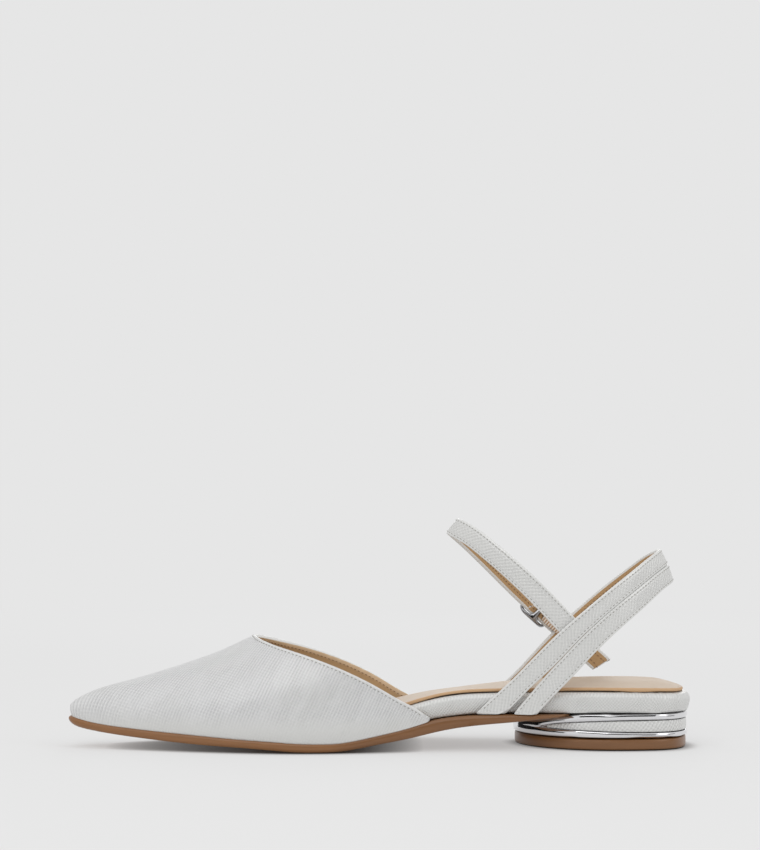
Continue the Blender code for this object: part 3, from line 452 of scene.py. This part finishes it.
# %% Thread and elastic
def twisted_thread(name, code):
    """Twisted polyester thread: a soft sheen that the twist breaks up, too fine here to show its slant."""
    thread, shader = new_material(name, Base_Color=hex_colour(code), Roughness=0.5, Sheen_Weight=0.2)
    body = add_node(thread, "ShaderNodeTexCoord").outputs["Object"]
    twist = add_node(thread, "ShaderNodeTexNoise", {"Vector": body, "Scale": 1 / (0.4 * MM), "Detail": 1.0})
    relief = add_node(thread, "ShaderNodeBump", {"Height": twist.outputs["Fac"], "Strength": 0.3,
                                                 "Distance": 0.1 * MM})
    link(thread, relief.outputs["Normal"], shader, "Normal")
    return thread


# Painted shade: the silver thread is painted darker grey than the leather, for the shadow in and beside each
# stitch
silver_thread_painted_shade = twisted_thread("silver_thread_painted_shade", "9C9A94")
brown_thread = twisted_thread("brown_thread", "7C5637")

# Elastic is woven over rubber cords, which gives it matt ribs, light on top and tan between
ribbed,ribbed_shader = new_material("ribbed_elastic", Roughness=0.8, Sheen_Weight=0.3)
ribs_flat = add_node(ribbed, "ShaderNodeUVMap", uv_map=FLAT_MAP).outputs["UV"]
ribs = add_node(ribbed, "ShaderNodeTexWave", {"Vector": ribs_flat, "Scale": WAVE_UNIT / (1.2 * MM),
                                              "Distortion": 0.2}, bands_direction="X")
ribs_tone = add_node(ribbed, "ShaderNodeMix", {"Factor": ribs.outputs["Fac"], 6: hex_colour("A8825E"),
                                               7: hex_colour("E6DCD0")}, data_type="RGBA")
ribs_bump = add_node(ribbed, "ShaderNodeBump", {"Height": ribs.outputs["Fac"], "Strength": 0.8,
                                                "Distance": 0.3 * MM})
link(ribbed, ribs_tone.outputs[2], ribbed_shader, "Base Color")
link(ribbed, ribs_bump.outputs["Normal"], ribbed_shader, "Normal")
print("thread and elastic:", silver_thread_painted_shade.name, brown_thread.name, ribbed.name)

# %% [markdown]
# ## Working copies of the solids
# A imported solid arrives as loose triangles. A copy of it is merged and paired back into quads, which is
# the mesh that a modeller would have drawn by hand: one row of faces along each edge. Subdivision then
# rounds it. Edges that stay crisp on the shoe, such as a folded leather edge, get a crease first, so
# that the rounding doesn't melt them.

# %% Copy, crease and soften
def edit_all(piece):
    """Go into edit mode on one piece alone, with all of it selected."""
    bpy.ops.object.select_all(action="DESELECT")
    bpy.context.view_layer.objects.active = piece
    piece.select_set(True)
    bpy.ops.object.mode_set(mode="EDIT")
    bpy.ops.mesh.select_all(action="SELECT")


def merged_copy(node, name):
    """Copy a solid's mesh and make clean quads of its loose triangles."""
    piece = bpy.data.objects.new(name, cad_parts[node].data.copy())
    piece.data.name = name
    piece.data.materials.clear()
    bpy.context.scene.collection.objects.link(piece)
    edit_all(piece)
    bpy.ops.mesh.customdata_custom_splitnormals_clear()
    bpy.ops.mesh.remove_doubles(threshold=0.002 * MM)
    bpy.ops.mesh.tris_convert_to_quads(face_threshold=math.radians(60.0), shape_threshold=math.radians(70.0))
    bpy.ops.mesh.faces_shade_smooth()
    bpy.ops.object.mode_set(mode="OBJECT")
    return piece


def cover(piece, materials, choose=lambda face: 0):
    """Give a piece its materials; choose(face) says which of them a face takes."""
    for material in materials:
        piece.data.materials.append(material)
    for face in piece.data.polygons:
        face.material_index = choose(face)


def meet(piece, *moves):
    """Move the faces that look down, or up, by a height, so that cemented layers meet with no dark gap."""
    for move in moves:
        edit_all(piece)
        bpy.ops.mesh.select_all(action="DESELECT")
        work = bmesh.from_edit_mesh(piece.data)
        for face in work.faces:
            face.select_set(face.normal.z * math.copysign(1.0, move) > 0.5)
        bmesh.update_edit_mesh(piece.data)
        bpy.ops.transform.translate(value=(0.0, 0.0, move))
        bpy.ops.object.mode_set(mode="OBJECT")


def crease_between(piece, pairs, amount):
    """Crease the edges where faces of two materials meet."""
    mesh = piece.data
    sides = {}
    for face in mesh.polygons:
        for key in face.edge_keys:
            sides.setdefault(key, []).append(face.material_index)
    crease = mesh.attributes.get("crease_edge") or mesh.attributes.new("crease_edge", "FLOAT", "EDGE")
    for edge in mesh.edges:
        if tuple(sorted(sides.get(edge.key, ()))) in pairs:
            crease.data[edge.index].value = amount


def crease_sharp(piece, angle, amount):
    """Crease the edges where faces meet more sharply than an angle."""
    edit_all(piece)
    bpy.ops.mesh.select_mode(type="EDGE")
    bpy.ops.mesh.select_all(action="DESELECT")
    bpy.ops.mesh.edges_select_sharp(sharpness=angle)
    bpy.ops.transform.edge_crease(value=amount)
    bpy.ops.mesh.select_mode(type="VERT")
    bpy.ops.object.mode_set(mode="OBJECT")


def soften(piece, levels):
    """Round a piece by subdivision and keep the result."""
    rounding = piece.modifiers.new("rounding", "SUBSURF")
    rounding.levels = rounding.render_levels = levels
    bpy.ops.object.select_all(action="DESELECT")
    bpy.context.view_layer.objects.active = piece
    piece.select_set(True)
    bpy.ops.object.modifier_apply(modifier="rounding")


def settle(piece, slot, *nodes):
    """Let a finished piece ride on the shoe and stand for its solids. The slot is not used."""
    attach(piece, "root")
    if nodes:
        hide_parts(*nodes)
    piece.data.calc_loop_triangles()
    print(piece.name, len(piece.data.loop_triangles), "triangles")


# %% [markdown]
# ## Flat cut patterns
# Hatched leather is cut flat and then bent, so its streaks follow the piece round. Unwrapping does the
# same in reverse: it lays the faces of one leather flat. The map is then scaled until its area is the
# piece's real area, so that a length on the map is a length on the leather in metres, and it is turned
# until u follows the shoe as seen from its side. A strap is simpler: it is unrolled along its own run.

# %% Lay a leather flat
INNER_SIDE = -0.4


def lay_flat(piece, index):
    """Unwrap the faces of one material to real size, upright as they are seen from the inner side."""
    mesh = piece.data
    flat = mesh.uv_layers.get(FLAT_MAP) or mesh.uv_layers.new(name=FLAT_MAP)
    mesh.uv_layers.active = flat
    edit_all(piece)
    bpy.ops.mesh.select_all(action="DESELECT")
    piece.active_material_index = index
    bpy.ops.object.material_slot_select()
    bpy.ops.uv.unwrap(method="CONFORMAL", margin=0.0)
    bpy.ops.object.mode_set(mode="OBJECT")
    flat = mesh.uv_layers[FLAT_MAP]
    faces = [face for face in mesh.polygons if face.material_index == index]
    loops = np.array([i for face in faces for i in face.loop_indices])
    points = np.array([flat.data[i].uv for i in loops]) @ (1, 1j)
    where = {loop: k for k, loop in enumerate(loops)}
    drawn = 0.0
    for face in faces:
        corners = points[[where[i] for i in face.loop_indices]]
        drawn += 0.5 * np.sum(np.conj(corners) * np.roll(corners, -1)).imag
    real = sum(face.area for face in faces)
    points = (points - points.mean()) * math.sqrt(real / abs(drawn))
    seen = np.array([face.normal.y < INNER_SIDE for face in faces for _ in face.loop_indices])
    places = np.array([mesh.vertices[v].co for face in faces for v in face.vertices]) @ (1, 0, 1j)
    held, shown = points[seen], places[seen]
    points = points * np.exp(1j * np.angle(np.sum(np.conj(held - held.mean()) * (shown - shown.mean()))))
    for i, point in zip(loops, points):
        flat.data[int(i)].uv = (point.real, point.imag)
    size = np.ptp(points.real), np.ptp(points.imag)
    print(piece.name, "pattern", [round(s / MM, 1) for s in size], "mm")


# %% Unroll a strap
UNROLL_STEPS = 60
HEEL_X = 60 * MM


def unroll(piece, index, turn_of):
    """Map a strap by its own run: u along its middle and v across it; turn_of(x, y) grows along the strap."""
    mesh = piece.data
    flat = mesh.uv_layers.get(FLAT_MAP) or mesh.uv_layers.new(name=FLAT_MAP)
    own = sorted({v for face in mesh.polygons if face.material_index == index for v in face.vertices})
    points = np.array([mesh.vertices[v].co for v in own])
    normals = np.array([mesh.vertices[v].normal for v in own])
    order = np.argsort(turn_of(points[:, 0], points[:, 1]))
    middle = np.array([points[part].mean(axis=0) for part in np.array_split(order, UNROLL_STEPS)])
    step = np.diff(middle, axis=0)
    reach = np.linalg.norm(step, axis=1)
    start = np.concatenate([[0.0], np.cumsum(reach)[:-1]])
    share = np.einsum("ijk,jk->ij", points[:, None] - middle[None, :-1], step) / reach**2
    share[:, 1:-1] = np.clip(share[:, 1:-1], 0.0, 1.0)
    share[:, 0] = np.minimum(share[:, 0], 1.0)
    share[:, -1] = np.maximum(share[:, -1], 0.0)
    offset = points[:, None] - (middle[None, :-1] + share[..., None] * step)
    nearest = np.argmin(np.linalg.norm(offset, axis=2), axis=1)
    row = np.arange(len(own))
    across = np.cross(normals, step[nearest] / reach[nearest][:, None])
    along = start[nearest] + share[row, nearest] * reach[nearest]
    place = dict(zip(own, zip(along, np.sum(offset[row, nearest] * across, axis=1))))
    for face in mesh.polygons:
        if face.material_index == index:
            for loop, v in zip(face.loop_indices, face.vertices):
                flat.data[loop].uv = place[v]
    print(piece.name, "unrolled length", round(along.max() / MM, 1), "mm")


def round_the_heel(x, y):
    """Turn round the heel seat, from the inner side to the outer side."""
    return np.arctan2(y, x - HEEL_X)


print("a strap is unrolled in", UNROLL_STEPS, "steps")

# %% [markdown]
# ## Rows of thread
# A lockstitch shows as a row of short dashes at an even distance from the edge, pressed a little into
# the leather. The borders between leather and fold are followed, stepped off in even pitches and moved
# inwards, as a presser foot guides a needle along an edge. One stitch is modelled from a small sphere,
# and its points are copied to every place, because a thousand single objects would only slow the scene.

# %% Follow a border
def border_chains(piece, first, second, keep):
    """Chains of points, with their inward directions, where faces of two materials meet."""
    mesh = piece.data
    faces = {}
    for face in mesh.polygons:
        for key in face.edge_keys:
            faces.setdefault(key, []).append(face)
    near, inward = {}, {}
    for (a, b), sides in faces.items():
        if sorted(face.material_index for face in sides) != sorted((first, second)):
            continue
        start, end = mesh.vertices[a].co, mesh.vertices[b].co
        if not keep((start + end) / 2):
            continue
        own = next(face for face in sides if face.material_index == first)
        along = (end - start).normalized()
        into = own.center - start
        into = (into - along * into.dot(along)).normalized()
        for here, there in ((a, b), (b, a)):
            near.setdefault(here, []).append(there)
            inward[here] = inward.get(here, Vector()) + into
    chains = []
    left = set(near)
    while left:
        ends = [v for v in sorted(left) if len(near[v]) == 1]
        here = ends[0] if ends else min(left)
        chain = []
        while here is not None:
            chain.append(here)
            left.discard(here)
            here = next((v for v in near[here] if v in left), None)
        if len(chain) > 3:
            points = np.array([mesh.vertices[v].co for v in chain])
            chains.append((points, np.array([inward[v].normalized() for v in chain])))
    return chains


def distance_to(points):
    """Return a function that gives the distance from a place to the nearest of the points."""
    tree = KDTree(len(points))
    for i, point in enumerate(points):
        tree.insert(point, i)
    tree.balance()
    return lambda place: tree.find(place)[2]


def mark_edge(piece, chains):
    """Keep on each point how far it is from the sewn border, for the leather's seam groove."""
    distance = distance_to([p for points, _ in chains for a, b in zip(points, points[1:])
                            for p in (a, (a + b) / 2)])
    marks = piece.data.attributes.new(EDGE_DISTANCE, "FLOAT", "POINT")
    marks.data.foreach_set("value", [distance(vertex.co) for vertex in piece.data.vertices])
    print(piece.name, "has", len(chains), "sewn borders")


# %% Sew along a border
STITCH_PITCH, STITCH_LENGTH, STITCH_THICK = 1.78 * MM, 1.05 * MM, 0.34 * MM
STITCH_RISE = 0.08 * MM
bpy.ops.object.select_all(action="DESELECT")
bpy.ops.mesh.primitive_uv_sphere_add(segments=8, ring_count=5, radius=0.5)
one_stitch = bpy.context.active_object
bpy.ops.object.mode_set(mode="EDIT")
bpy.ops.mesh.select_all(action="SELECT")
bpy.ops.transform.rotate(value=math.pi / 2, orient_axis="Y", center_override=(0.0, 0.0, 0.0))
bpy.ops.transform.resize(value=(STITCH_LENGTH, STITCH_THICK, STITCH_THICK))
bpy.ops.object.mode_set(mode="OBJECT")
STITCH_POINTS = np.array([vertex.co for vertex in one_stitch.data.vertices])
STITCH_FACES = [list(face.vertices) for face in one_stitch.data.polygons]
bpy.data.objects.remove(one_stitch, do_unlink=True)


def sew(piece, index, chains, inset):
    """Points and faces of a row of stitches on the faces of one material, at a distance from its border."""
    mesh = piece.data
    surface = BVHTree.FromPolygons([vertex.co for vertex in mesh.vertices],
                                   [face.vertices for face in mesh.polygons if face.material_index == index])
    points, faces = [], []
    for border, inward in chains:
        length = np.concatenate([[0.0], np.cumsum(np.linalg.norm(np.diff(border, axis=0), axis=1))])
        count = int(length[-1] / STITCH_PITCH)
        steps = (np.arange(count) + 0.5) * length[-1] / max(count, 1)
        guide = border + inset * inward
        line = np.column_stack([np.interp(steps, length, guide[:, axis]) for axis in range(3)])
        for place, along in zip(line, np.gradient(line, axis=0) if count > 1 else ()):
            spot, normal, _, gap = surface.find_nearest(place)
            if gap > inset:
                continue
            ahead = Vector(along)
            ahead = (ahead - normal * ahead.dot(normal)).normalized()
            turn = np.column_stack([ahead, normal.cross(ahead), normal])
            first = len(points) * len(STITCH_POINTS)
            points.append(STITCH_POINTS @ turn.T + np.array(spot + normal * STITCH_RISE))
            faces += [[first + i for i in face] for face in STITCH_FACES]
    return points, faces


def add_thread(name, thread, slot, rows):
    """Join rows of stitches into one piece."""
    points, faces = [], []
    for row_points, row_faces in rows:
        first = len(points) * len(STITCH_POINTS)
        points += row_points
        faces += [[first + i for i in face] for face in row_faces]
    mesh = bpy.data.meshes.new(name)
    mesh.from_pydata(np.concatenate(points).tolist(), [], faces)
    mesh.shade_smooth()
    mesh.materials.append(thread)
    piece = bpy.data.objects.new(name, mesh)
    bpy.context.scene.collection.objects.link(piece)
    settle(piece, slot)
    print(name, len(points), "stitches")


silver_rows, brown_rows = [], []
print("one stitch:", len(STITCH_FACES), "faces")

# %% [markdown]
# ## The upper
# On the real shoe the vamp and its two wings are one cut piece, folded over at the top edge and lined
# with tan leather. Its solid already is that hollow shell. The copy is sorted into outside, folded edge,
# lining and lasted underside by the way each face looks, and only the outside gets the hatch.

# %% Upper
OUTSIDE, FOLD, LINING, UNDERSIDE = range(4)
TOE_X, FOOT_LEAN, FOOT_Z = -110 * MM, 0.03, 10 * MM
FACES_AWAY = 0.55
UPPER_DROP = 0.7 * MM
WING_TIP_X = 17 * MM
LINING_INSET = 1.3 * STITCH_INSET


def upper_face(face):
    """Sort a face of the upper by its direction from the middle of the foot."""
    middle = face.center
    inside = Vector((max(middle.x, TOE_X), FOOT_LEAN * middle.x, FOOT_Z))
    facing = face.normal.dot((middle - inside).normalized())
    if facing > FACES_AWAY:
        return OUTSIDE
    if facing < -FACES_AWAY:
        return LINING
    return UNDERSIDE if face.normal.z < -0.5 else FOLD


def throat(middle):
    """True for border edges along the throat, down to the tips of the wings."""
    return middle.x < WING_TIP_X


upper = merged_copy("upper", "vamp_and_wings")
cover(upper, [vamp_leather, fold_leather, lining, lining], upper_face)
bottom = [v for face in upper.data.polygons if face.material_index == UNDERSIDE for v in face.vertices]
for v in set(bottom):
    upper.data.vertices[v].co.z -= UPPER_DROP
crease_between(upper, {(OUTSIDE, FOLD), (FOLD, LINING), (LINING, UNDERSIDE), (OUTSIDE, UNDERSIDE)}, 0.6)
soften(upper, 2)
lay_flat(upper, OUTSIDE)
top_edge = border_chains(upper, OUTSIDE, FOLD, throat)
mark_edge(upper, top_edge)
silver_rows.append(sew(upper, OUTSIDE, top_edge, STITCH_INSET))
brown_rows.append(sew(upper, LINING, border_chains(upper, LINING, FOLD, throat), LINING_INSET))
settle(upper, "silver_leather", "upper")

# %% [markdown]
# ## Sole, footbed and insole
# The footbed's edge is covered with the same hatched leather, turned over a soft shoulder. The insole is a
# thin foam pad covered in tan leather that lies on it. Under them is the brown sole with a rounded
# edge. All three keep the outline of the last, so their copies only need rounding.

# %% Footbed edge
BAND, HIDDEN, PAD = range(3)
JOINT = 0.25 * MM
CAP_AREA = 60 * MM**2
BARE_FROM_X = -30 * MM


def footbed_face(face):
    """Pick the covered edge: not the large faces under the insole, the underside or what the vamp hides."""
    seen = face.normal.z > -0.5 and face.center.x > BARE_FROM_X
    return BAND if seen and face.area < CAP_AREA else HIDDEN


def insole_face(face):
    """Sort a face of the insole into underside, rolled edge and pad."""
    if face.normal.z < -0.8:
        return HIDDEN
    return BAND if face.normal.z < 0.9 else PAD


footbed = merged_copy("midsole", "wrapped_footbed")
meet(footbed, -2 * JOINT)
cover(footbed, [band_leather, fold_leather], footbed_face)
soften(footbed, 2)
unroll(footbed, BAND, round_the_heel)
settle(footbed, "silver_leather", "midsole")

# %% Insole
insole = merged_copy("insole", "padded_insole")
meet(insole, -2 * JOINT)
# The rolled edge and underside take the painted shade copy, the top pad the lighter leather
cover(insole, [sock_edge_painted_shade, sock_edge_painted_shade, sock], insole_face)
crease_between(insole, {(BAND, HIDDEN)}, 0.9)
soften(insole, 2)
settle(insole, "tan_lining", "insole")

# %% Outsole and top lift
for node, name in (("outsole", "burnished_outsole"), ("heel_top_lift", "heel_walking_layer")):
    brown = merged_copy(node, name)
    cover(brown, [sole_brown])
    soften(brown, 2)
    settle(brown, "brown_sole", node)

# %% [markdown]
# ## The plated heel
# The heel is a plated block with two half-round rims that run together in a loop at its front, and a
# band of the hatched leather lies between them. Polished metal shows every flat facet, so the copy is
# rounded twice.

# %% Heel
HEEL_BLOCK_X = 90 * MM


def inlay_face(face):
    """Pick the upright faces that look out of the heel block."""
    outward = face.center - Vector((HEEL_BLOCK_X, 0.0, face.center.z))
    return BAND if abs(face.normal.z) < 0.8 and face.normal.dot(outward) > 0 else HIDDEN


heel = merged_copy("heel_shell", "plated_heel")
meet(heel, -JOINT, JOINT)
cover(heel, [plating])
crease_sharp(heel, math.radians(35.0), 0.5)
soften(heel, 2)
settle(heel, "plated_metal", "heel_shell")

inlay = merged_copy("heel_inlay", "heel_band")
cover(inlay, [inlay_leather, inlay_leather], inlay_face)
soften(inlay, 2)
unroll(inlay, BAND, round_the_heel)
settle(inlay, "silver_leather", "heel_inlay")

# %% [markdown]
# ## Straps
# Each strap is a folded strip of the hatched leather with a lining of tan leather sewn behind it. The
# wide faces that look away from the ankle are the leather, those that look at it are the lining, and
# the narrow ones are the folded edge.

# %% Faces and seams of a strap
WIDE, CHAMFER, LAP = 1.2 * MM, 0.72 * MM, 0.3 * MM
FOOT_TOP = 18.0 * MM
PIN_HOLE, HOLE_MARGIN = Vector((67.5, 28.3, 57.5)) * MM, 3.2 * MM
ANKLE_X = 75 * MM


def round_the_ankle(x, y):
    """Turn round the ankle, from the inner side over the instep to the outer side."""
    return np.arctan2(y, ANKLE_X - x)


def strap_face(piece, ankle_x):
    """Return the sorting of a strap's faces; the ankle stands at ankle_x on the centre line."""
    verts = piece.data.vertices

    def choose(face):
        corners = [verts[i].co for i in face.vertices]
        shortest = min((a - b).length for a, b in zip(corners, corners[1:] + corners[:1]))
        facing = face.normal.dot((face.center - Vector((ankle_x, 0.0, face.center.z))).normalized())
        if face.normal.z < -0.5 and face.center.z < FOOT_TOP:
            return FOLD
        if shortest < CHAMFER:
            return OUTSIDE if facing > 0 else FOLD
        if shortest > WIDE or abs(facing) > 0.9:
            return OUTSIDE if facing > 0 else LINING
        return FOLD

    return choose


def narrow_lap(piece):
    """Let the lining reach further out, so that the leather laps only a little way over it."""
    chains = border_chains(piece, LINING, FOLD, lambda middle: True)
    distance = distance_to([point for points, _ in chains for point in points])
    for face in piece.data.polygons:
        if face.material_index == FOLD and distance(face.center) < LAP:
            face.material_index = LINING


def sewn(middle):
    """True for border edges that carry a seam: not round the pin's hole, and not under the sling feet."""
    return (middle - PIN_HOLE).length > HOLE_MARGIN and middle.z > FOOT_TOP


print("no seam under", FOOT_TOP / MM, "mm")

# %% Straps
FATTEN = 0.12 * MM
FOOT_END, FOOT_DROP = 16.2 * MM, 0.5 * MM
STRAPS = {
    "sling_strap_front": (HEEL_X, round_the_heel),
    "sling_strap_rear": (HEEL_X, round_the_heel),
    "ankle_strap": (ANKLE_X, round_the_ankle),
}
for node, (ankle_x, turn_of) in STRAPS.items():
    strap = merged_copy(node, node + "_leather")
    cover(strap, [strap_leather, fold_leather, strap_lining_painted_shade], strap_face(strap, ankle_x))
    edit_all(strap)
    bpy.ops.transform.shrink_fatten(value=FATTEN)
    bpy.ops.object.mode_set(mode="OBJECT")
    for vertex in strap.data.vertices:
        vertex.co.z -= FOOT_DROP * (vertex.co.z < FOOT_END)
    crease_between(strap, {(OUTSIDE, FOLD), (FOLD, LINING)}, 0.3)
    soften(strap, 2)
    narrow_lap(strap)
    unroll(strap, OUTSIDE, turn_of)
    outer_edge = border_chains(strap, OUTSIDE, FOLD, sewn)
    mark_edge(strap, outer_edge)
    silver_rows.append(sew(strap, OUTSIDE, outer_edge, STRAP_INSET))
    brown_rows.append(sew(strap, LINING, border_chains(strap, LINING, FOLD, sewn), STRAP_INSET))
    settle(strap, "silver_leather", node)

# %% [markdown]
# ## Buckle and elastic
# The buckle is a small plated frame with a pin, bent from round wire. Its elastic is a short ribbed tape.

# %% Buckle and elastic
for node, name in (("buckle_frame", "plated_buckle"), ("buckle_pin", "plated_pin")):
    wire = merged_copy(node, name)
    cover(wire, [wire_plating_painted_shade])
    soften(wire, 1)
    settle(wire, "plated_metal", node)

elastic = merged_copy("elastic_tab", "ribbed_elastic_tab")
cover(elastic, [ribbed])
soften(elastic, 2)
tape = np.array([vertex.co for vertex in elastic.data.vertices])
tape_axes = np.linalg.svd(tape - tape.mean(axis=0), full_matrices=False)[2]
ribs_map = elastic.data.uv_layers.new(name=FLAT_MAP)
for loop in elastic.data.loops:
    ribs_map.data[loop.index].uv = tape_axes[:2] @ tape[loop.vertex_index]
settle(elastic, "elastic", "elastic_tab")

# %% Thread
add_thread("silver_stitching", silver_thread_painted_shade, "silver_leather", silver_rows)
add_thread("brown_stitching", brown_thread, "tan_lining", brown_rows)
